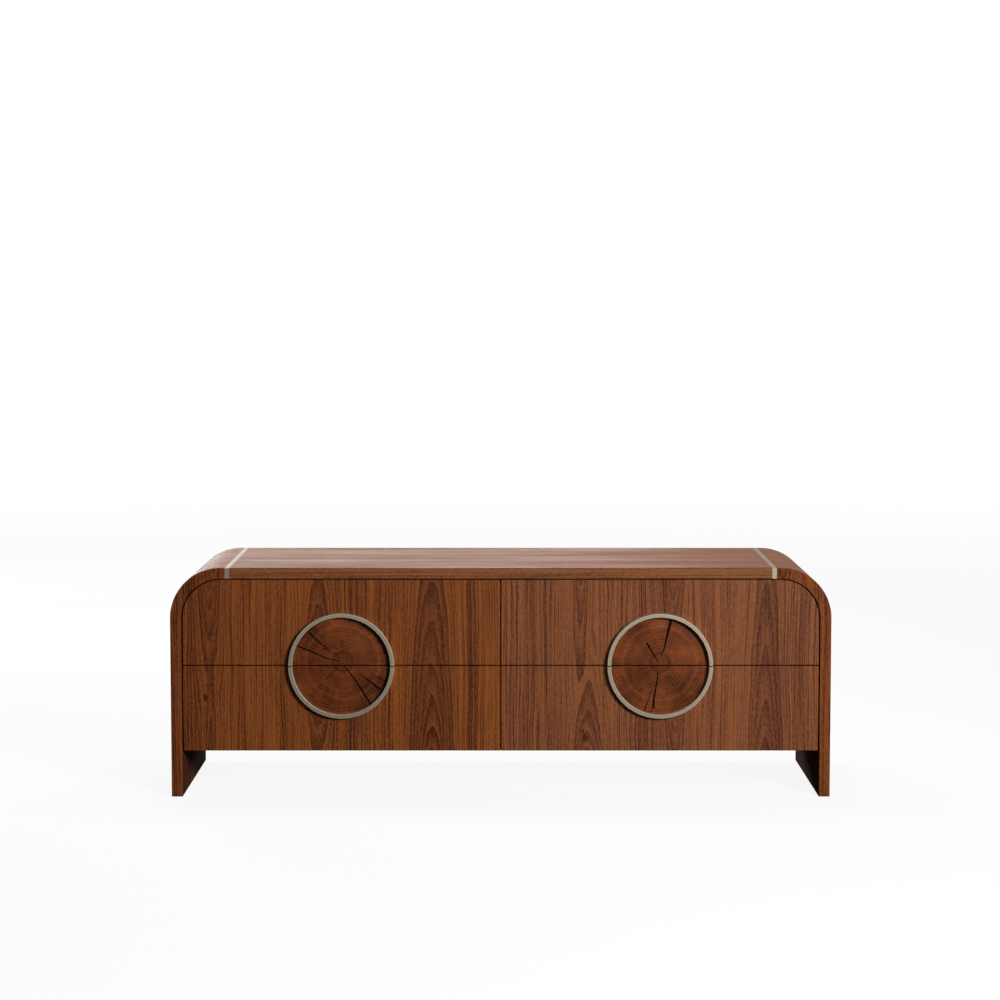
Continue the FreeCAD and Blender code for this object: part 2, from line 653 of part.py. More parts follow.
def drawer_fasteners(column_row, row, rail_screw_pair, front_pair, ring_pair):
    """The screws of one drawer: its rails, its front and its half ring. Gives them with their drills."""
    low_z = f"({ROW_Z[row]} + {BOX_RISE})"
    outer_rail_x = f"(-{BOX_OUTER_X} - slide_gauge)"
    screws, holes = copies(f"{column_row}_drawer_rail_screw", rail_screw_pair,
                           rail_screw_spots(outer_rail_x, slide_axis_z(row)), ALONG_X)
    outer_screws = group(f"{column_row}_outer_rail_screws", screws)
    outer_drill = group(f"{column_row}_outer_rail_drill", holes)
    middle = minus(BOX_MIDDLE_X)
    inner_screws = mirrored(f"{column_row}_inner_rail_screws", outer_screws, middle)
    inner_drill = mirrored(f"{column_row}_inner_rail_drill", outer_drill, middle)

    inner_face_y = f"({BOX_Y} + box_wall)"
    front_x = (f"(-{BOX_OUTER_X} + box_wall + screw_margin)", f"(-{BOX_INNER_X} - box_wall - screw_margin)")
    front_z = (f"({low_z} + {BOX_HEIGHT} / 3)", f"({low_z} + {BOX_HEIGHT} * 5 / 6)")
    front_spots = [(x, inner_face_y, z) for x in front_x for z in front_z]
    front_screws, front_holes = copies(f"{column_row}_front_screw", front_pair, front_spots, ALONG_MINUS_Y)
    front_drill = group(f"{column_row}_front_drill", front_holes)

    away = "+" if row == "upper" else "-"
    reach = "(ring_diameter / 2 - ring_wall / 2)"
    ring_spots = []
    for angle in RING_SCREW_ANGLES:
        x, z = f"(-{RING_X} + {reach} * cos({angle}))", f"({SEAM_Z} {away} {reach} * sin({angle}))"
        ring_spots.append((x, BOX_Y, z))
    ring_screws, ring_holes = copies(f"{column_row}_ring_screw", ring_pair, ring_spots, ALONG_MINUS_Y)
    ring_drill = group(f"{column_row}_ring_drill", ring_holes)

    label = f"{column_row}_drawer_screws"
    keep(label, group(label, [outer_screws, inner_screws, *front_screws, *ring_screws]))
    return outer_drill, inner_drill, front_drill, ring_drill


def drawer_box(column_row, row, outer_drill, inner_drill, front_drill):
    """A dovetailed box: sides, front and back grooved for a loose bottom."""
    low_z = f"({ROW_Z[row]} + {BOX_RISE})"
    high_z = f"({low_z} + {BOX_HEIGHT})"
    x, y = (minus(BOX_OUTER_X), minus(BOX_INNER_X)), (BOX_Y, f"({BOX_Y} + {BOX_LENGTH})")
    inner_x = f"({x[1]} - box_wall)"
    border = "(box_wall - groove_depth)"
    floor_x, floor_y = ((f"({span[0]} + {border})", f"({span[1]} - {border})") for span in (x, y))
    floor_z = (f"({low_z} + floor_lift)", f"({low_z} + floor_lift + box_floor)")
    label = f"{column_row}_box_bottom"
    floor_spans = [(f"({span[0]} + fit_clearance)", f"({span[1]} - fit_clearance)")
                   for span in (floor_x, floor_y)]
    keep(label, board(label, *floor_spans, floor_z))
    grooves = board(f"{column_row}_grooves", floor_x, floor_y, floor_z)

    sides = []
    for name, side_x, drill in (("outer", x[0], outer_drill), ("inner", inner_x, inner_drill)):
        label = f"{column_row}_box_{name}_side"
        blank = dovetailed_side(f"{label}_blank", side_x, low_z)
        sides.append(blank)
        keep(label, cut(label, blank, grooves, drill))
    for name, end_y in (("front", (y[0], f"({y[0]} + box_wall)")), ("back", (f"({y[1]} - box_wall)", y[1]))):
        label = f"{column_row}_box_{name}"
        blank = board(f"{label}_blank", x, end_y, (low_z, high_z))
        tools = [*sides, grooves, front_drill] if name == "front" else [*sides, grooves]
        keep(label, cut(label, blank, *tools))


def build_drawer(row, drawer_screw_pairs, rail_drill):
    """One drawer of the left column with its slides."""
    column_row = f"{row}_left"
    outer_drill, inner_drill, front_drill, ring_drill = drawer_fasteners(column_row, row, *drawer_screw_pairs)
    label = f"{column_row}_drawer_front"
    keep(label, cut(label, drawer_front(label, row), front_drill, ring_drill))
    label = f"{column_row}_ring_half"
    keep(label, cut(label, ring_half(label, row), ring_drill))
    label = f"{column_row}_end_grain_half"
    keep(label, end_grain_half(label, row))
    drawer_box(column_row, row, outer_drill, inner_drill, front_drill)
    drawer_slides(column_row, row, rail_drill, outer_drill)


cabinet_rail_screw = screw_pair("cabinet_rail", f"(slide_gauge + {PARTITION_X} - screw_tip_gap)")
drawer_screws = [
    screw_pair("drawer_rail", "(slide_gauge + box_wall - groove_depth - screw_tip_gap)"),
    screw_pair("front", "(box_wall + screw_bite)"),
    screw_pair("ring", "(front_thickness - inlay_depth + screw_bite)"),
]
left_rail_drill = build_carcass(cabinet_rail_screw)
for drawer_row in ROW_Z:
    build_drawer(drawer_row, drawer_screws, left_rail_drill)
for left_piece in [piece for piece in parts if "_left_" in piece.Label]:
    twin_label = left_piece.Label.replace("_left_", "_right_")
    keep(twin_label, mirrored(twin_label, left_piece))

doc.recompute()
failed = [item.Name for item in doc.Objects if {"Invalid", "Error"} & set(item.State)]
if failed:
    raise RuntimeError(f"these objects failed to rebuild: {failed}")
for piece in parts:
    if piece.Shape.isNull() or not piece.Shape.isValid() or not piece.Shape.Solids:
        raise RuntimeError(f"{piece.Label} is not a valid solid")

os.makedirs("parts", exist_ok=True)
for piece in parts:
    piece.Shape.exportStep(os.path.join("parts", f"{piece.Label}.step"))
print(f"{len(parts)} sub-parts written")
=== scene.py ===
import math
from collections import namedtuple

import bpy
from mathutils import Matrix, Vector


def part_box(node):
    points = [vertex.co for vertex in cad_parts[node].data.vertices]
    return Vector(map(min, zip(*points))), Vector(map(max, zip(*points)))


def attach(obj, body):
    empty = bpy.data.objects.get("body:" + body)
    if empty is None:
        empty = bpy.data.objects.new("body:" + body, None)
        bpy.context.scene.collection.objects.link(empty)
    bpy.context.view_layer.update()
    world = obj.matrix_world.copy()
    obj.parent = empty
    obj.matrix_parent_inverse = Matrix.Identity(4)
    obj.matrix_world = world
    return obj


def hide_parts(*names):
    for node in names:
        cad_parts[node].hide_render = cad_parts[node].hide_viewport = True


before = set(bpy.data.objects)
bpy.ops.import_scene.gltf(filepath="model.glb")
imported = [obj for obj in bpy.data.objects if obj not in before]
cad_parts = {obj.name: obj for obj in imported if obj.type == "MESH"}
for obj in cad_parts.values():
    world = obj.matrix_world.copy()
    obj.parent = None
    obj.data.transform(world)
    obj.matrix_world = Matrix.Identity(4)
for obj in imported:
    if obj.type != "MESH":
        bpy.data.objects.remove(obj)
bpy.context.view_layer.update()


# Bent side panels. Each is a leg, a bend and a short stub of the top in one piece: thin plies glued up
# over a form and faced with walnut that follows the bend. The front edge has its own strip of veneer.
MM = 0.001
SIDE_LOW, SIDE_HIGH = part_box("left_side_panel")
BEND_RADIUS = 115.0
BEND_X = -SIDE_LOW.x / MM - BEND_RADIUS
BEND_Z = SIDE_HIGH.z / MM - BEND_RADIUS
INNER_DEPTH = 20.0
FRONT_EDGE_Y = SIDE_LOW.y / MM
EDGE_VENEER = 0.6
GLUE_LINE = 0.1
YEAR_WIDTH = 6.0
SHELL_LIGHT = (132, 80, 46)
SHELL_DARK = (56, 24, 11)
EDGE_LIGHT = (125, 66, 31)

# A leaf of veneer is given by where its heart line runs, where along the grain its arches start, how fast
# they widen, and how much wood its dark heart takes up. A band along the grain is darker than the wood
# beside it, or lighter where its strength is below nought. Lengths are in millimetres.
Leaf = namedtuple("Leaf", "heart_line arches_from widening dark_heart")
Band = namedtuple("Band", "middle half_width strength")
SHELL_LEAVES = [Leaf(-150.0, -300.0, 1.2, 0.0), Leaf(40.0, 900.0, 1.2, 0.0), Leaf(190.0, 100.0, 1.0, 0.0)]
EDGE_LEAVES = [Leaf(-648.0, 560.0, 4.0, 2.0), Leaf(640.0, 545.0, 6.0, 16.4), Leaf(772.0, 300.0, 0.1, 0.0)]
EDGE_BANDS = [Band(-690.0, 85.0, 0.2), Band(690.0, 85.0, 0.06), Band(730.0, 1.4, 0.15),
              Band(736.8, 1.3, 0.3), Band(743.0, 1.4, 0.1)]


def linear(shown):
    """The light that a shader needs for a colour given as it is seen, from 0 to 255 (the sRGB curve)."""
    parts = [part / 255 for part in shown]
    return [*(p / 12.92 if p <= 0.04045 else ((p + 0.055) / 1.055) ** 2.4 for p in parts), 1.0]


class Field:
    """A number that varies over a surface. Arithmetic with it adds nodes to its material."""

    def __init__(self, tree, socket):
        self.tree = tree
        self.socket = socket

    def maths(self, operation, *others):
        """The result of one of the operations of a Math node."""
        node = self.tree.nodes.new("ShaderNodeMath")
        node.operation = operation
        for plug, source in zip(node.inputs, (self, *others)):
            join(self.tree, plug, source)
        return Field(self.tree, node.outputs[0])

    def __add__(self, other):
        return self.maths("ADD", other)

    def __sub__(self, other):
        return self.maths("SUBTRACT", other)

    def __mul__(self, other):
        return self.maths("MULTIPLY", other)

    def __truediv__(self, other):
        return self.maths("DIVIDE", other)

    def between(self, at_nought, at_one):
        """From one value, where the field is 0, to another, where it is 1."""
        return self * (at_one - at_nought) + at_nought

    def swing(self, amount):
        """Noise from 0 to 1 made to swing about nought, by the amount from end to end."""
        return (self - 0.5) * amount

    def rising(self, low, high):
        """From 0 at the low value to 1 at the high one, with soft ends."""
        node = self.tree.nodes.new("ShaderNodeMapRange")
        node.interpolation_type = "SMOOTHSTEP"
        for plug, source in zip(node.inputs, (self, low, high)):
            join(self.tree, plug, source)
        return Field(self.tree, node.outputs[0])

    def falling(self, low, high):
        """From 1 at the low value to 0 at the high one, with soft ends."""
        return self.rising(low, high).between(1.0, 0.0)


def join(tree, plug, source):
    """Feeds a socket from a field or another socket, or sets it to a plain value."""
    if isinstance(source, Field):
        tree.links.new(source.socket, plug)
    elif isinstance(source, bpy.types.NodeSocket):
        tree.links.new(source, plug)
    else:
        plug.default_value = source


def distance(aside, above):
    """How far a point lies from a middle, from its offsets in two directions."""
    return (aside * aside + above * above).maths("SQRT")


def start_material(name, **values):
    """A material with its shader's constant values set. Gives the node tree and the shader."""
    material = bpy.data.materials.new(name)
    material.use_nodes = True
    shader = material.node_tree.nodes["Principled BSDF"]
    for socket, value in values.items():
        shader.inputs[socket.replace("_", " ")].default_value = value
    return material.node_tree, shader


def position(tree):
    """Where a point lies in the cabinet's own frame, in millimetres."""
    place = tree.nodes.new("ShaderNodeTexCoord").outputs["Object"]
    split = tree.nodes.new("ShaderNodeSeparateXYZ")
    tree.links.new(place, split.inputs[0])
    return [Field(tree, socket) / MM for socket in split.outputs]


def noise(tree, x, y=0.0, z=0.0, detail=2.0, roughness=0.5):
    """Smooth noise from 0 to 1 over three fields, each already divided by the size of its blots."""
    blend = tree.nodes.new("ShaderNodeCombineXYZ")
    for plug, source in zip(blend.inputs, (x, y, z)):
        join(tree, plug, source)
    node = tree.nodes.new("ShaderNodeTexNoise")
    tree.links.new(blend.outputs[0], node.inputs["Vector"])
    node.inputs["Scale"].default_value = 1.0
    node.inputs["Detail"].default_value = detail
    node.inputs["Roughness"].default_value = roughness
    return Field(tree, node.outputs[0])


def figure(tree, run, width, length, detail=2.0, roughness=0.5):
    """Noise drawn out along a run of grain or brushing, in blots of a width and length in millimetres."""
    across, through, along = run
    return noise(tree, across / width, through / width, along / length, detail, roughness)


def mixed(tree, share, first, second, blend="MIX"):
    """A colour between two colours, or one worked on by another."""
    node = tree.nodes.new("ShaderNodeMix")
    node.data_type = "RGBA"
    node.blend_type = blend
    node.clamp_factor = True
    plugs = {plug.identifier: plug for plug in node.inputs}
    join(tree, plugs["Factor_Float"], share)
    join(tree, plugs["A_Color"], first)
    join(tree, plugs["B_Color"], second)
    return next(plug for plug in node.outputs if plug.identifier == "Result_Color")


def shaded(tree, colour, shade):
    """A colour made darker by a field: the colour itself at 1, and black at 0."""
    grey = tree.nodes.new("ShaderNodeCombineColor")
    for plug in grey.inputs[:3]:
        join(tree, plug, shade)
    return mixed(tree, 1.0, colour, grey.outputs[0], "MULTIPLY")


def roughen(tree, shader, height, strength, depth):
    """Gives a surface a fine relief, with its depth in millimetres."""
    relief = tree.nodes.new("ShaderNodeBump")
    relief.inputs["Strength"].default_value = strength
    relief.inputs["Distance"].default_value = depth * MM
    join(tree, relief.inputs["Height"], height)
    tree.links.new(relief.outputs[0], shader.inputs["Normal"])


def hearts(across, along, leaves):
    """How much wood, in millimetres, grew between the dark heart of the nearest leaf and a point."""
    nearest = None
    for leaf in leaves:
        aside = across - leaf.heart_line
        climb = (along - leaf.arches_from).maths("ABSOLUTE") * leaf.widening
        grown = (aside * aside + climb).maths("SQRT") - leaf.dark_heart
        nearest = grown if nearest is None else nearest.maths("MINIMUM", grown)
    return nearest


def late_wood(years, starts, darkest, fades):
    """A line in each year's growth. It darkens slowly from one share of the year to another and fades at
    the year's end."""
    season = years.maths("FRACT")
    return season.rising(starts, darkest) * season.falling(fades, 1.0)


def each_year(tree, years):
    """A number from 0 to 1 that differs from year to year and stays the same within a year."""
    node = tree.nodes.new("ShaderNodeTexWhiteNoise")
    node.noise_dimensions = "1D"
    join(tree, node.inputs["W"], years.maths("FLOOR"))
    return Field(tree, node.outputs["Value"])


def on_edge(y):
    """1 in the thin strip of veneer on the front edge, and 0 behind it."""
    return y.falling(FRONT_EDGE_Y + EDGE_VENEER, FRONT_EDGE_Y + EDGE_VENEER + GLUE_LINE)


def walnut(name, grain, light, dark, edge_light=None, polish=0.06, satin=0.5, sheen_spread=0.4,
           inner_depth=None, bands=(), knots=()):
    """Oiled walnut, from its light wood to its dark wood. The grain function gives a point's place across,
    through and along the grain, and how much wood grew between it and the heart. A strip on the front
    edge can have a light wood of its own. Polish is how strongly the wood mirrors, satin how rough it is,
    and the sheen spread how uneven that is from place to place. From the inner depth under its outer face
    on, the wood is rougher, and its colour is darkened as painted shade for inner faces in shadow."""
    tree, shader = start_material(name, Specular_IOR_Level=polish)
    place = position(tree)
    across, through, along, grown = grain(tree, *place)
    run = across, through, along

    years = grown / YEAR_WIDTH
    years = years + noise(tree, years * 0.23, detail=1.0).swing(1.0)
    years = years + figure(tree, run, width=22, length=110).swing(0.7)
    heart = grown.falling(0.0, 7.0)
    near_heart = grown.falling(4.0, 34.0)
    worn = figure(tree, run, width=7, length=80).rising(0.3, 0.7).maths("MAXIMUM", near_heart)
    year_line = late_wood(years, starts=0.0, darkest=0.92, fades=0.93)
    year_line = year_line * each_year(tree, years).between(0.4, 1.0) * worn.between(0.4, 1.0)
    year_line = year_line * near_heart.between(0.5, 0.82)
    good_years = noise(tree, years * 0.16, detail=1.0).rising(0.3, 0.7)
    streak = figure(tree, run, width=2.3, length=360).swing(2.7) * near_heart.between(1.0, 0.25)
    fleck = figure(tree, run, width=1.8, length=9).swing(1.5)
    fibre = figure(tree, run, width=0.7, length=30)
    pores = figure(tree, run, width=0.9, length=9, detail=1.0).rising(0.6, 0.72)
    sheen = figure(tree, run, width=38, length=600).swing(sheen_spread)

    depth = year_line + heart * 0.25 + good_years * 0.25 + streak + fleck
    gloss = fibre.swing(0.16) + sheen + pores * 0.12 + satin
    for band in bands:
        aside = (across - band.middle).maths("ABSOLUTE")
        depth = depth + aside.falling(band.half_width * 0.5, band.half_width * 1.3) * band.strength
    for knot in knots:
        reach = distance(across - knot.across, (along - knot.along) * 0.6)
        depth = depth + reach.falling(knot.size * 0.3, knot.size)
    # Inner faces are made rougher, and their colour is darkened as painted shade.
    if inner_depth:
        inner = through.rising(inner_depth, inner_depth + 1.0)
        depth = depth + inner * 0.6
        gloss = gloss + inner * 0.5
    light_wood = linear(light)
    if edge_light:
        light_wood = mixed(tree, on_edge(place[1]), light_wood, linear(edge_light))
    colour = mixed(tree, depth, light_wood, linear(dark))
    shade = fibre.swing(0.6) + 1.0 - pores * 0.4
    join(tree, shader.inputs["Base Color"], shaded(tree, colour, shade))
    join(tree, shader.inputs["Roughness"], gloss)
    roughen(tree, shader, fibre - pores, strength=0.08, depth=0.1)
    return bpy.data.materials[name]


def along_shell(x, z):
    """How far along the unrolled shell a point lies, and how deep under its outer face, in millimetres."""
    outward = x.maths("ABSOLUTE") - BEND_X
    upward = z - BEND_Z
    out = outward.maths("MAXIMUM", 0.0)
    up = upward.maths("MAXIMUM", 0.0)
    turned = out.maths("ARCTAN2", up) * BEND_RADIUS
    run = turned + outward.maths("MINIMUM", 0.0) - upward.maths("MINIMUM", 0.0) + BEND_X
    deep = distance(out, up) * -1 + BEND_RADIUS
    return run * x.maths("SIGN"), deep


def shell_grain(tree, x, y, z):
    """Grain that runs along the top and over the bends down to the floor."""
    along, through = along_shell(x, z)
    across = y + noise(tree, along / 300, y / 80).swing(40)
    return across, through, along, hearts(across, along, SHELL_LEAVES)


def with_edge(y, face, edge):
    """The grain of a board's face, changed for the grain of its veneer strip on the front edge."""
    share = on_edge(y)
    return [(strip - board) * share + board for board, strip in zip(face, edge)]


def side_grain(tree, x, y, z):
    """The shell's grain, with a strip of upright grain on the front edge."""
    upright = x + noise(tree, x / 60, z / 150).swing(14)
    edge = upright, y, z, hearts(upright, z, EDGE_LEAVES)
    return with_edge(y, shell_grain(tree, x, y, z), edge)


def dress(node, material):
    """Gives a node of the frame its finish."""
    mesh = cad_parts[node].data
    mesh.materials.clear()
    mesh.materials.append(material)


side_walnut = walnut("bent_side_walnut", side_grain, SHELL_LIGHT, SHELL_DARK, EDGE_LIGHT,
                     satin=0.58, inner_depth=INNER_DEPTH, bands=EDGE_BANDS)
dress("left_side_panel", side_walnut)
dress("right_side_panel", side_walnut)


# Metal strips. Two flat bars of champagne-coloured metal, brushed along their length, let in flush
# between the top panel and the side panels. The dowels of the top pass through them.
CHAMPAGNE = (140, 130, 114)
GLANCING_TINT = (205, 203, 200)
METAL_SATIN = 0.48


def brightened(colour, times):
    """The light that a shader needs for a colour, made brighter or duller."""
    return [*(part * times for part in linear(colour)[:3]), 1.0]


def brushed_metal(name, colour, brushing, rim=None):
    """Satin metal with fine brush lines. The brushing function gives a point's place across, through and
    along the lines. The rim function, where there is one, is 1 on rims that get a painted highlight."""
    tree, shader = start_material(name, Metallic=1.0, Specular_Tint=linear(GLANCING_TINT))
    place = position(tree)
    run = brushing(*place)
    fine = figure(tree, run, width=0.25, length=60, detail=3.0, roughness=0.7)
    coarse = figure(tree, run, width=2.5, length=140)
    cloud = noise(tree, *[part / 55 for part in place])
    tone = fine.swing(0.8) + coarse.swing(0.6) + cloud.swing(0.5) + 0.5
    skin = mixed(tree, tone, brightened(colour, times=1.12), brightened(colour, times=0.82))
    gloss = fine.swing(0.2) + cloud.swing(0.1) + METAL_SATIN
    # Rims are made lighter as a painted highlight, and a little rougher.
    if rim:
        painted_rim_highlight = rim(*place)
        skin = mixed(tree, painted_rim_highlight, skin, brightened(colour, times=1.7))
        gloss = gloss + painted_rim_highlight * 0.15
    join(tree, shader.inputs["Base Color"], skin)
    join(tree, shader.inputs["Roughness"], gloss)
    roughen(tree, shader, fine, strength=0.2, depth=0.03)
    return bpy.data.materials[name]


def strip_brushing(x, y, z):
    """Brush lines that run from the front of a strip to its back."""
    return x, z, y


strip_metal = brushed_metal("strip_champagne", CHAMPAGNE, strip_brushing)
dress("left_inlay_strip", strip_metal)
dress("right_inlay_strip", strip_metal)


# Top panel. A straight board between the two metal strips, veneered with the grain running across the
# cabinet so that it lines up with the bends. It is dowelled to the side panels through the strips.
TOP_LIGHT = (129, 77, 42)
TOP_DARK = (62, 27, 14)
EDGE_HEART_DROP = 30.0
EDGE_HEART_Z = SIDE_HIGH.z / MM - EDGE_HEART_DROP


def top_grain(tree, x, y, z):
    """The shell's grain, with a strip of straight-grained veneer on the front edge."""
    level = z + noise(tree, x / 400, z / 12).swing(5)
    edge = level, y, x, (level - EDGE_HEART_Z).maths("ABSOLUTE") * 0.8 + 60
    return with_edge(y, shell_grain(tree, x, y, z), edge)


top_walnut = walnut("top_walnut", top_grain, TOP_LIGHT, TOP_DARK, polish=0.12, satin=0.62,
                    sheen_spread=0.7, inner_depth=INNER_DEPTH)
dress("top_panel", top_walnut)


# Bottom panel and partition. Plain walnut-veneered boards inside the shell, dowelled to it. The grain of
# the bottom runs across the cabinet, and the grain of the partition stands upright.
INNER_LIGHT = (122, 74, 44)
INNER_DARK = (74, 38, 22)
BOTTOM_LEAVES = [Leaf(-60.0, -900.0, 2.0, 0.0), Leaf(120.0, 700.0, 2.0, 0.0)]
PARTITION_LEAVES = [Leaf(-40.0, -300.0, 4.0, 0.0), Leaf(150.0, 800.0, 4.0, 0.0)]


def bottom_grain(tree, x, y, z):
    """Straight grain across the cabinet."""
    across = y + noise(tree, x / 260, y / 70).swing(30)
    return across, z, x, hearts(across, x, BOTTOM_LEAVES)


def partition_grain(tree, x, y, z):
    """Straight upright grain."""
    across = y + noise(tree, y / 70, z / 160).swing(20)
    return across, x, z, hearts(across, z, PARTITION_LEAVES)


dress("bottom_panel", walnut("bottom_walnut", bottom_grain, INNER_LIGHT, INNER_DARK))
dress("center_partition", walnut("partition_walnut", partition_grain, INNER_LIGHT, INNER_DARK))


# Back panel. A thin veneered board in a rebate of the shell, held by screws. Seven upright leaves of one
# flitch are laid side by side, and their arches start at three heights in turn.
BACK_LEAF_COUNT = 7
BACK_LEAF_WIDTH = 213.0
BACK_FIRST_HEART = -640.0
BACK_ARCHES_TOP = 560.0
BACK_ARCHES_STEP = 210.0
BACK_LEAVES = [Leaf(heart_line=BACK_FIRST_HEART + BACK_LEAF_WIDTH * leaf,
                    arches_from=BACK_ARCHES_TOP - BACK_ARCHES_STEP * (leaf % 3),
                    widening=4.5, dark_heart=0.0) for leaf in range(BACK_LEAF_COUNT)]


def back_grain(tree, x, y, z):
    """Upright grain over the leaves of the back."""
    across = x + noise(tree, x / 70, z / 160).swing(16)
    return across, y, z, hearts(across, z, BACK_LEAVES)


dress("back_panel", walnut("back_walnut", back_grain, INNER_LIGHT, INNER_DARK))


# Dowels. Turned beech pins, glued half and half into the two boards of each joint of the carcass. Those
# of the top pass through the metal strips on their way.
BEECH_LIGHT = (214, 172, 128)
BEECH_DARK = (176, 128, 86)


def pale_wood(name, grain, light, dark, fleck_depth, line_width):
    """Pale, close-grained wood with faint year lines and short dark flecks. The grain function gives a
    point's place across, through and along the grain."""
    tree, shader = start_material(name, Specular_IOR_Level=0.25)
    run = grain(*position(tree))
    across, through, along = run
    swayed = across + figure(tree, run, width=60, length=240).swing(18)
    lines = figure(tree, (swayed, through, along), line_width, length=700, detail=3.0)
    broad = figure(tree, run, width=45, length=300)
    fleck = figure(tree, run, width=0.8, length=9, detail=1.0).rising(0.62, 0.74)
    tone = lines.swing(1.5) + broad.swing(0.9) + fleck * fleck_depth + 0.35
    join(tree, shader.inputs["Base Color"], mixed(tree, tone, linear(light), linear(dark)))
    join(tree, shader.inputs["Roughness"], lines.swing(0.15) + 0.55)
    roughen(tree, shader, lines - fleck, strength=0.2, depth=0.08)
    return bpy.data.materials[name]


def sideways_grain(x, y, z):
    """Grain that runs from one side of the cabinet to the other."""
    return y, z, x


dress("carcass_dowels", pale_wood("dowel_beech", sideways_grain, BEECH_LIGHT, BEECH_DARK,
                                  fleck_depth=0.7, line_width=1.6))


# Floor glides. Four round pads of dark nylon, pressed into the ends of the legs to keep the wood off the
# floor. The mould has left their skin slightly rough.
NYLON_DARK = (46, 42, 40)
NYLON_LIGHT = (62, 57, 54)


def moulded_nylon(name, dark, light):
    """Nylon with the fine grit of a mould."""
    tree, shader = start_material(name, Specular_IOR_Level=0.4)
    grit = noise(tree, *[part / 0.5 for part in position(tree)], detail=3.0)
    join(tree, shader.inputs["Base Color"], mixed(tree, grit, linear(dark), linear(light)))
    join(tree, shader.inputs["Roughness"], grit.between(0.5, 0.7))
    roughen(tree, shader, grit, strength=0.3, depth=0.05)
    return bpy.data.materials[name]


dress("floor_glides", moulded_nylon("glide_nylon", NYLON_DARK, NYLON_LIGHT))


# Screws and slides. Zinc-plated steel: the screws of the carcass and drawers, and the three rails of each
# telescopic slide, which are cold-rolled to shape so that their marks run along them.
ROWS = ("upper", "lower")
COLUMNS = ("left", "right")
DRAWERS = [(row, column) for row in ROWS for column in COLUMNS]
SCREW_LIGHT = (206, 205, 196)
SCREW_DARK = (150, 149, 142)
RAIL_LIGHT = (212, 214, 216)
RAIL_DARK = (164, 167, 170)


def zinc_plate(name, light, dark, mark_length):
    """Zinc plating: cool grey metal with cloudy patches and faint marks that run from front to back."""
    tree, shader = start_material(name, Metallic=1.0)
    x, y, z = position(tree)
    patches = noise(tree, x / 14, y / 14, z / 14, detail=3.0)
    marks = noise(tree, x / 0.4, y / mark_length, z / 0.4)
    tone = patches.swing(1.6) + marks.swing(0.9) + 0.5
    join(tree, shader.inputs["Base Color"], mixed(tree, tone, linear(light), linear(dark)))
    join(tree, shader.inputs["Roughness"], patches.swing(0.3) + marks.swing(0.15) + 0.36)
    roughen(tree, shader, marks, strength=0.15, depth=0.03)
    return bpy.data.materials[name]


screw_zinc = zinc_plate("screw_zinc", SCREW_LIGHT, SCREW_DARK, mark_length=1.5)
slide_zinc = zinc_plate("slide_zinc", RAIL_LIGHT, RAIL_DARK, mark_length=70.0)
dress("carcass_screws", screw_zinc)
for row, column in DRAWERS:
    dress(f"{row}_{column}_drawer_screws", screw_zinc)
    for rails in ("cabinet_rails", "middle_rails", "drawer_rails"):
        dress(f"{row}_{column}_{rails}", slide_zinc)


# Drawer boxes. Solid birch boards dovetailed at the corners, with the grain running along each board,
# and a bottom of birch plywood in a groove.
BIRCH_LIGHT = (222, 190, 150)
BIRCH_DARK = (190, 148, 104)
PLY_LIGHT = (224, 198, 160)
PLY_DARK = (196, 160, 118)
NEXT_BOARD = 900.0
BOX_GRAIN = {
    "box_front": lambda x, y, z: (z, y, x),
    "box_back": lambda x, y, z: (z, y, x + NEXT_BOARD),
    "box_outer_side": lambda x, y, z: (z, x, y),
    "box_inner_side": lambda x, y, z: (z, x, y + NEXT_BOARD),
}

for board, grain in BOX_GRAIN.items():
    birch = pale_wood(f"{board}_birch", grain, BIRCH_LIGHT, BIRCH_DARK, fleck_depth=0.25, line_width=3.5)
    for row, column in DRAWERS:
        dress(f"{row}_{column}_{board}", birch)

birch_ply = pale_wood("drawer_bottom_ply", sideways_grain, PLY_LIGHT, PLY_DARK,
                      fleck_depth=0.2, line_width=9.0)
for row, column in DRAWERS:
    dress(f"{row}_{column}_box_bottom", birch_ply)


# Drawer fronts. Veneered boards with upright grain. In each column a few leaves of one flitch are laid
# side by side, and the figure runs on from the upper drawer to the lower one.
Knot = namedtuple("Knot", "across along size")
FRONT_LEAVES = {
    "left": [Leaf(-662.0, 500.0, 3.5, 22.5), Leaf(-660.0, 100.0, 0.6, 7.0), Leaf(-415.0, 300.0, 5.4, 28.0),
             Leaf(-157.0, 40.0, 5.3, 50.0)],
    "right": [Leaf(180.0, 520.0, 1.5, 14.0), Leaf(198.0, 54.0, 8.0, 34.6), Leaf(392.0, 520.0, 3.9, 22.5),
              Leaf(397.0, 180.0, 3.0, 16.4), Leaf(602.0, 0.0, 3.0, 38.4)],
}
FRONT_BANDS = {
    "left": [Band(-345.0, 62.0, 0.22), Band(-66.0, 8.0, 0.25), Band(-706.0, 30.0, 0.25),
             Band(-157.0, 130.0, 0.08)],
    "right": [Band(62.0, 45.0, 0.15), Band(340.0, 60.0, 0.22), Band(392.0, 18.0, -0.15),
              Band(525.0, 50.0, -0.1), Band(660.0, 60.0, 0.15)],
}
FRONT_KNOTS = {
    "left": [Knot(-673.0, 228.0, 6.0)],
    "right": [Knot(192.0, 136.0, 7.0), Knot(187.0, 150.0, 4.0)],
}
# The right column's wood is lighter and greyer than the left's: a painted sheen where light falls
# stronger.
FRONT_LIGHT = {"left": (131, 72, 30), "right": (130, 77, 44)}
FRONT_DARK = {"left": (62, 24, 11), "right": (66, 29, 17)}


def front_grain(leaves):
    """Upright grain over a column's leaves."""

    def grain(tree, x, y, z):
        across = x + noise(tree, x / 70, z / 190).swing(13)
        return across, y, z, hearts(across, z, leaves)

    return grain


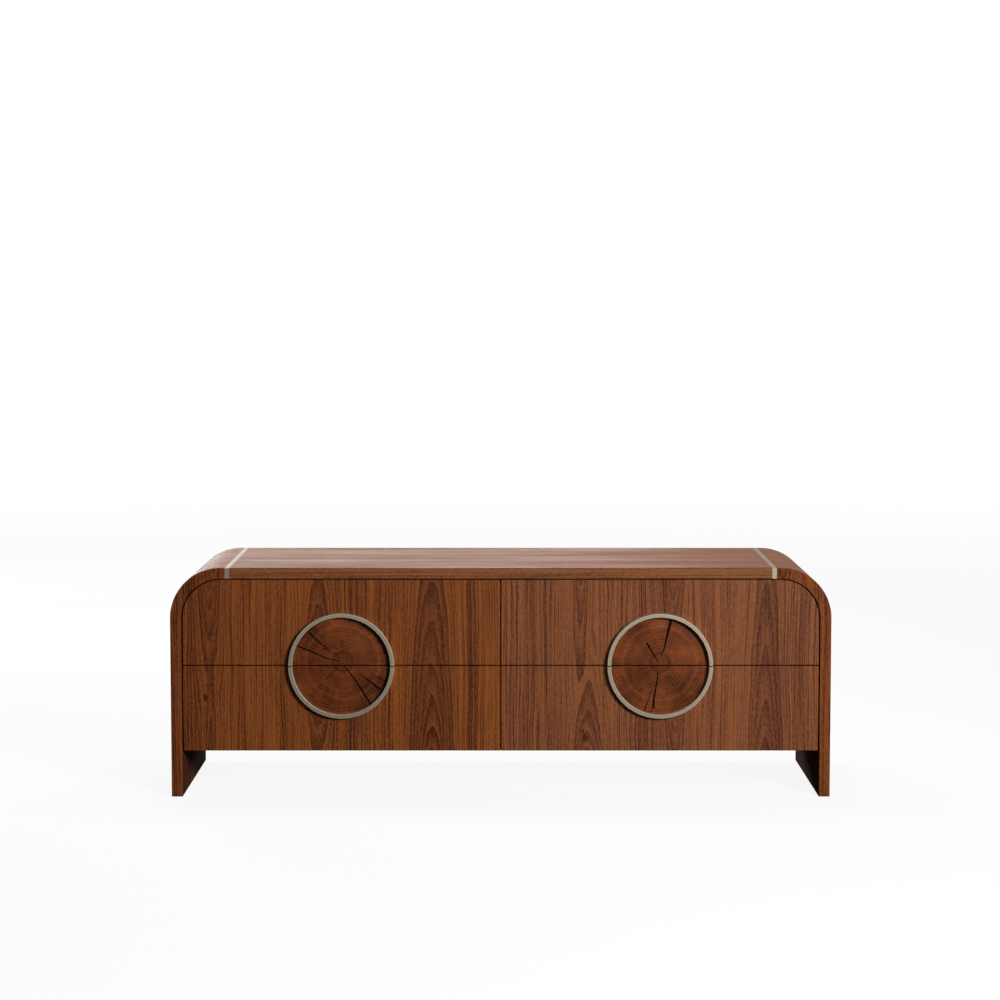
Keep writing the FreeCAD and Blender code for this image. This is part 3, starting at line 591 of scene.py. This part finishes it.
for column, leaves in FRONT_LEAVES.items():
    veneer = walnut(f"{column}_front_walnut", front_grain(leaves), FRONT_LIGHT[column], FRONT_DARK[column],
                    polish=0.1, bands=FRONT_BANDS[column], knots=FRONT_KNOTS[column])
    for row in ROWS:
        dress(f"{row}_{column}_drawer_front", veneer)


# End-grain slices. In each ring lies a round slice cut across a walnut log, sunk flush into the fronts and
# sawn in two where the drawers meet. Drying has opened cracks from the bark towards the pith.
SLICE_SIDES = 192
SLICE_EDGE = 0.3
SLICE_YEAR = 4.2
SHARP_CORNER = math.radians(60)
SMOOTH_TURN = math.radians(30)
CRACK_DEPTH = 4.5
CRACK_OPENING = 0.55
CRACK_TAPER = 0.6
PITH = {"left": (3.3, 8.1), "right": (-1.0, 6.0)}
SLICE_LIGHT = {"left": (130, 66, 31), "right": (131, 68, 34)}
SLICE_DARK = {"left": (38, 16, 7), "right": (42, 18, 8)}

# Each crack has its width and the points that it runs through, from its wide end, in millimetres from the
# middle of the slice.
Crack = namedtuple("Crack", "width route")
CRACKS = {
    "left": [
        Crack(3.8, [(-79, 81), (-54, 56), (-37, 43), (-29, 38)]),
        Crack(2.4, [(-40, 40), (-27, 32), (-18, 27)]),
        Crack(1.4, [(-17, 31), (-14, 24), (-2, 15)]),
        Crack(3.8, [(-106, 47), (-71, 33.5), (-46, 21), (-22, 13), (-3, 10)]),
        Crack(4.2, [(69, -94), (41, -49), (25, -24), (4, 2)]),
        Crack(3.6, [(89, -56), (57, -30), (42, -19)]),
        Crack(2.6, [(106, -39), (75, -24)]),
        Crack(1.5, [(-37, -32), (-21, -18), (-6, -3)]),
        Crack(1.2, [(1, 50), (0, 32)]),
    ],
    "right": [
        Crack(6.4, [(26, 109), (17.5, 77), (12.5, 53), (7, 30)]),
        Crack(2.0, [(4.5, 34), (2.5, 20)]),
        Crack(3.6, [(-30, 52), (-19, 30), (-9, 17), (-2, 6)]),
        Crack(4.6, [(-15, -98), (-14, -76), (-10, -57), (-6, -34), (-5, -16)]),
        Crack(1.7, [(-35, -106), (-27, -77), (-18, -57)]),
        Crack(1.8, [(-19, -108), (-16, -97)]),
        Crack(2.0, [(-47.5, -60.5), (-41, -52)]),
        Crack(2.4, [(30, -45), (26, -40)]),
    ],
}


def end_grain(name, middle, pith, light, dark):
    """Walnut cut across the log: uneven year rings about the pith, rays, pores, and cracks with painted
    shade.
    """
    tree, shader = start_material(name, Specular_IOR_Level=0.06)
    x, y, z = position(tree)
    aside = x - (middle.x / MM + pith[0])
    above = z - (middle.z / MM + pith[1])
    span = distance(aside, above)
    sway = noise(tree, x / 60, z / 60).swing(9) + noise(tree, x / 9, z / 9).swing(3.2)
    reach = span + sway * span.rising(0.0, 25.0)

    growth = reach / SLICE_YEAR + noise(tree, reach / 17, detail=1.0) * 2.0
    worn = noise(tree, x / 14, z / 14).rising(0.3, 0.7) * span.rising(3.0, 16.0)
    year_line = late_wood(growth, starts=0.2, darkest=0.88, fades=0.88)
    year_line = year_line * each_year(tree, growth).between(0.4, 1.0) * worn.between(0.3, 1.0)
    faint_line = late_wood(growth * 3.3, starts=0.2, darkest=0.8, fades=0.8)
    ray = noise(tree, aside.maths("ARCTAN2", above) * 60, reach / 60, detail=3.0)
    broad = noise(tree, x / 60, z / 60, y / 60)
    good_years = noise(tree, reach / 13, detail=1.0)
    pores = noise(tree, x / 1.1, z / 1.1).rising(0.55, 0.7)
    speck = noise(tree, x / 2.6, z / 2.6)
    # Down in the cracks, below the face, the colour is darkened almost to black as painted shade.
    painted_crack_shade = (y - middle.y / MM).rising(0.1, 0.6)

    depth = year_line * 0.8 + faint_line * 0.3 + broad.swing(1.2) + good_years.swing(0.9)
    depth = depth + ray.swing(0.8) + speck.swing(0.5) + 0.26
    colour = mixed(tree, depth, linear(light), linear(dark))
    shade = pores.between(1.0, 0.75) * painted_crack_shade.between(1.0, 0.04)
    join(tree, shader.inputs["Base Color"], shaded(tree, colour, shade))
    join(tree, shader.inputs["Roughness"], broad.swing(0.2) + year_line * 0.1 + 0.6)
    roughen(tree, shader, year_line + pores * 0.5, strength=0.35, depth=0.2)
    return bpy.data.materials[name]


def crack_cutter(middle, crack):
    """A long wedge that cuts one crack into a slice and narrows to its end."""
    half_opening = crack.width * CRACK_OPENING
    bpy.ops.object.select_all(action="DESELECT")
    bpy.ops.curve.primitive_nurbs_path_add(location=middle)
    path = bpy.context.object.data
    path.splines.clear()
    line = path.splines.new("NURBS")
    line.points.add(len(crack.route) - 1)
    for index, (point, (aside, above)) in enumerate(zip(line.points, crack.route)):
        point.co = (aside * MM, 0.0, above * MM, 1.0)
        point.radius = 1.0 - CRACK_TAPER * index / (len(crack.route) - 1)
    line.order_u = 3
    line.use_endpoint_u = True
    line.resolution_u = 6
    path.bevel_depth = half_opening * MM
    path.bevel_resolution = 3
    path.use_fill_caps = True
    bpy.ops.object.convert(target="MESH")
    bpy.ops.transform.resize(value=(1.0, CRACK_DEPTH / half_opening, 1.0))
    bpy.ops.object.transform_apply(location=True, rotation=True, scale=True)
    return bpy.context.object


def slice_half(name, node, middle, cutters):
    """One half of a slice: a disc sawn off at the seam, its edges eased, with the cracks cut in."""
    low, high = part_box(node)
    radius = (high.x - low.x) / 2
    bpy.ops.object.select_all(action="DESELECT")
    bpy.ops.mesh.primitive_circle_add(vertices=SLICE_SIDES, radius=radius, fill_type="NGON",
                                      location=middle, rotation=(math.radians(90), 0, 0))
    bpy.ops.object.transform_apply(location=True, rotation=True, scale=True)
    half = bpy.context.object
    half.name = name
    is_upper = high.z > middle.z + radius / 2
    bpy.ops.object.mode_set(mode="EDIT")
    bpy.ops.mesh.select_all(action="SELECT")
    bpy.ops.mesh.bisect(plane_co=(0, 0, low.z if is_upper else high.z), plane_no=(0, 0, 1),
                        clear_inner=is_upper, clear_outer=not is_upper)
    bpy.ops.mesh.select_all(action="SELECT")
    bpy.ops.mesh.extrude_region_move(TRANSFORM_OT_translate={"value": (0, high.y - low.y, 0)})
    bpy.ops.mesh.select_all(action="SELECT")
    bpy.ops.mesh.normals_make_consistent(inside=False)
    bpy.ops.object.mode_set(mode="OBJECT")
    ease = half.modifiers.new("eased_edges", "BEVEL")
    ease.width = SLICE_EDGE * MM
    ease.segments = 2
    ease.angle_limit = SHARP_CORNER
    bpy.ops.object.modifier_apply(modifier=ease.name)
    for cutter in cutters:
        crack = half.modifiers.new("crack", "BOOLEAN")
        crack.object = cutter
        bpy.ops.object.modifier_apply(modifier=crack.name)
    bpy.ops.object.shade_smooth_by_angle(angle=SMOOTH_TURN)
    return half


for column, cracks in CRACKS.items():
    upper_low, upper_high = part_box(f"upper_{column}_end_grain_half")
    lower_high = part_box(f"lower_{column}_end_grain_half")[1]
    middle = Vector(((upper_low.x + upper_high.x) / 2, upper_low.y, (lower_high.z + upper_low.z) / 2))
    wood = end_grain(f"{column}_end_grain", middle, PITH[column], SLICE_LIGHT[column], SLICE_DARK[column])
    cutters = [crack_cutter(middle, crack) for crack in cracks]
    for row in ROWS:
        node = f"{row}_{column}_end_grain_half"
        half = slice_half(f"{row}_{column}_log_slice", node, middle, cutters)
        half.data.materials.append(wood)
        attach(half, f"{row}_{column}_drawer")
        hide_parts(node)
    for cutter in cutters:
        bpy.data.objects.remove(cutter)


# Ring pulls. Turned rings of the same champagne metal, brushed round, split at the seam and screwed to the
# fronts from behind. Fingers reach behind the inner edge.
RING_LOW, RING_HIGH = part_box("upper_right_ring_half")
RING_RADIUS = (RING_HIGH.x - RING_LOW.x) / 2 / MM
RING_X = (RING_LOW.x + RING_HIGH.x) / 2 / MM
RING_Z = (RING_LOW.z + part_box("lower_right_ring_half")[1].z) / 2 / MM
SLICE_LOW, SLICE_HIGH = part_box("upper_right_end_grain_half")
RING_WALL = RING_RADIUS - (SLICE_HIGH.x - SLICE_LOW.x) / 2 / MM
RIM_WIDTH = 2.4
RIM_BRIGHTEST = 0.6
# The rings get a lighter champagne than the strips, though it is the same metal: painted light.
RING_CHAMPAGNE = (149, 139, 121)


def from_ring_middle(x, z):
    """How far aside of and above the middle of its ring a point lies."""
    return x.maths("ABSOLUTE") - RING_X, z - RING_Z


def ring_brushing(x, y, z):
    """Brush lines that run round the ring."""
    aside, above = from_ring_middle(x, z)
    return distance(aside, above), y, aside.maths("ARCTAN2", above) * RING_RADIUS


def ring_rim_highlight(x, y, z):
    """1 along the inner and outer rims of a ring, where they get a painted highlight, and 0 mid-face."""
    half_wall = RING_WALL / 2
    off_middle = (distance(*from_ring_middle(x, z)) - (RING_RADIUS - half_wall)).maths("ABSOLUTE")
    return off_middle.rising(half_wall - RIM_WIDTH, half_wall - RIM_BRIGHTEST)


ring_metal = brushed_metal("ring_champagne", RING_CHAMPAGNE, ring_brushing, ring_rim_highlight)
for row, column in DRAWERS:
    dress(f"{row}_{column}_ring_half", ring_metal)


# Floor. A plain painted studio floor, laid flat under the cabinet. To the camera it is pale, keeps the
# cabinet's shadow and fades into the white background. It throws little light back up.
FLOOR_SIZE = 60.0
FLOOR_PAINT = (98, 96, 95)
FLOOR_SEEN = (245, 244, 243)
WHITE_NEAR_CABINET = 0.9
FADE_START = 900.0
FADE_END = 9000.0
MIRRORED_START = 700.0
MIRRORED_END = 3500.0


def seen_directly(tree):
    """Two fields: 1 for rays from the camera, and 1 for rays from mirrors and glass. Both are 0 for other
    light."""
    path = tree.nodes.new("ShaderNodeLightPath")
    camera, glossy, glass = (Field(tree, path.outputs[f"Is {kind} Ray"])
                             for kind in ("Camera", "Glossy", "Transmission"))
    return camera, glossy.maths("MAXIMUM", glass)


def floor_paint(name):
    """Matt paint that turns white far off, and in mirrors also in front of the cabinet."""
    tree, shader = start_material(name, Roughness=0.9, Specular_IOR_Level=0.0)
    by_camera, by_mirrors = seen_directly(tree)
    paint = mixed(tree, by_camera, linear(FLOOR_PAINT), linear(FLOOR_SEEN))
    join(tree, shader.inputs["Base Color"], paint)
    x, y = position(tree)[:2]
    far_off = distance(x, y).rising(FADE_START, FADE_END)
    in_front = (y * -1).rising(MIRRORED_START, MIRRORED_END)
    white = by_camera * far_off.between(WHITE_NEAR_CABINET, 1.0)
    white = white + by_mirrors * far_off.maths("MAXIMUM", in_front)
    glow = tree.nodes.new("ShaderNodeEmission")
    blend = tree.nodes.new("ShaderNodeMixShader")
    for plug, source in zip(blend.inputs, (white, shader.outputs[0], glow.outputs[0])):
        join(tree, plug, source)
    join(tree, tree.nodes["Material Output"].inputs["Surface"], blend.outputs[0])
    return bpy.data.materials[name]


bpy.ops.object.select_all(action="DESELECT")
bpy.ops.mesh.primitive_plane_add(size=FLOOR_SIZE)
floor = bpy.context.object
floor.name = "studio_floor"
floor.data.materials.append(floor_paint("studio_floor_paint"))


# Studio. White behind the cabinet and dim grey in front of it. A key lamp stands at the front right, soft
# lamps hang overhead and stand at the left and behind, and a strip lamp low behind the cabinet brings out
# the sheen of the top.
FILL = 0.02
FRONT_LEVEL = 0.25
BACKDROP_FADE = 0.3
world = bpy.data.worlds.new("studio")
bpy.context.scene.world = world
world.use_nodes = True
tree = world.node_tree
direction = tree.nodes.new("ShaderNodeSeparateXYZ")
tree.links.new(tree.nodes.new("ShaderNodeTexCoord").outputs["Generated"], direction.inputs[0])
backwards = Field(tree, direction.outputs["Y"])
backdrop = backwards.rising(-BACKDROP_FADE, BACKDROP_FADE).between(FRONT_LEVEL, 1.0)
by_camera, by_mirrors = seen_directly(tree)
strength = by_camera * (1 - FILL) + by_mirrors * (backdrop - FILL) + FILL
join(tree, tree.nodes["Background"].inputs["Strength"], strength)
tree.nodes["Background"].inputs["Color"].default_value = (1, 1, 1, 1)


def lamp(name, place, target, size, watts):
    """A soft rectangular lamp that faces a point."""
    light = bpy.data.lights.new(name, "AREA")
    light.shape = "RECTANGLE"
    light.size, light.size_y = size
    light.energy = watts
    stand = bpy.data.objects.new(name, light)
    bpy.context.scene.collection.objects.link(stand)
    stand.location = place
    stand.rotation_euler = (Vector(target) - Vector(place)).to_track_quat("-Z", "Y").to_euler()
    stand.visible_camera = False


lamp("key_lamp", place=(2.4, -4.1, 1.8), target=(0, 0, 0.3), size=(1.3, 1.0), watts=260)
lamp("overhead_lamp", place=(0, 0.5, 2.3), target=(0, 0.1, 0.5), size=(1.8, 0.6), watts=29)
lamp("sheen_lamp", place=(-0.64, 3.2, 0.95), target=(-0.2, 0, 0.525), size=(2.4, 0.5), watts=32)
lamp("side_lamp", place=(-3.4, 0.9, 1.2), target=(-0.75, 0, 0.3), size=(1.2, 1.2), watts=12)
lamp("back_lamp", place=(-2.6, 4.2, 2.2), target=(0, 0.2, 0.3), size=(1.6, 1.6), watts=90)

bpy.context.scene.view_settings.view_transform = "Standard"


# Camera. A long lens straight in front of the cabinet, above its top and tilted a little down. Its place
# and its lens are fitted to the outline of the cabinet in the photograph.
CAMERA_LENS = 90.69
CAMERA_SENSOR = 36.0
CAMERA_PLACE = (-0.00166, -5.8922, 1.14504)
CAMERA_TILT = math.radians(85.306)
camera = bpy.data.objects.new("camera", bpy.data.cameras.new("camera"))
bpy.context.scene.collection.objects.link(camera)
camera.data.lens = CAMERA_LENS
camera.data.sensor_width = CAMERA_SENSOR
camera.location = CAMERA_PLACE
camera.rotation_euler = (CAMERA_TILT, 0, 0)
bpy.context.scene.camera = camera
